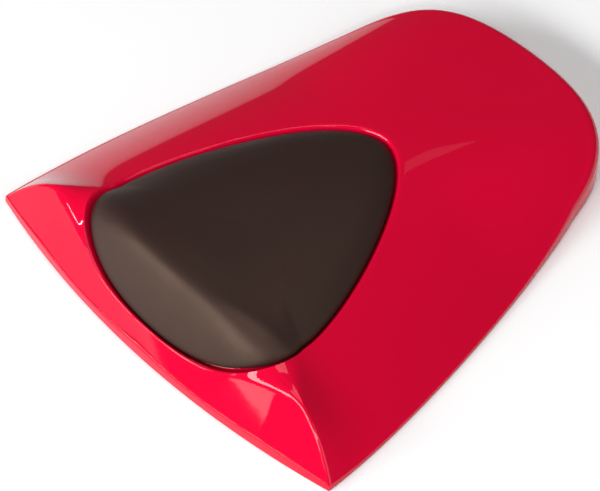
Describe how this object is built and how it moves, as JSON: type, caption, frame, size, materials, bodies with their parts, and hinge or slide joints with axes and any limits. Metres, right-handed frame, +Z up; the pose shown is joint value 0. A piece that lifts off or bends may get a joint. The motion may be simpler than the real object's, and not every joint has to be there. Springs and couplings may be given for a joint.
{
  "type": "solo seat cowl",
  "caption": "Painted motorbike seat cowl with a raised black foam back pad let into its top, and latch, hook and rubber feet underneath.",
  "frame": {"origin": "middle of the overall box, in the plane of the trim edge", "axes": "+X across the cowl, to the right of someone who stands at its front and looks towards its tail; +Y from the front lip to the tail; +Z up"},
  "size_m": [0.27, 0.31, 0.0504],
  "materials": {
    "red_gloss": "high-gloss red paint over ABS",
    "pad_foam": "matte self-skinned foam",
    "black_plastic": "moulded, fine texture",
    "zinc_steel": "zinc plated",
    "striker_steel": "plated rod",
    "brass_insert": "turned",
    "black_steel": "black oxide",
    "foot_rubber": "moulded"
  },
  "bodies": {
    "root": {"cowl_shell": "red_gloss", "back_pad": "pad_foam", "pad_base": "black_plastic", "pad_push_nuts": "zinc_steel", "latch_bracket": "zinc_steel", "striker_loop": "striker_steel", "striker_washers": "zinc_steel", "striker_nuts": "zinc_steel", "latch_inserts": "brass_insert", "latch_screws": "black_steel", "hook_plate": "zinc_steel", "hook_inserts": "brass_insert", "hook_screws": "black_steel", "front_foot_left": "foot_rubber", "front_foot_right": "foot_rubber", "rear_foot_left": "foot_rubber", "rear_foot_right": "foot_rubber"}
  },
  "joints": []
}
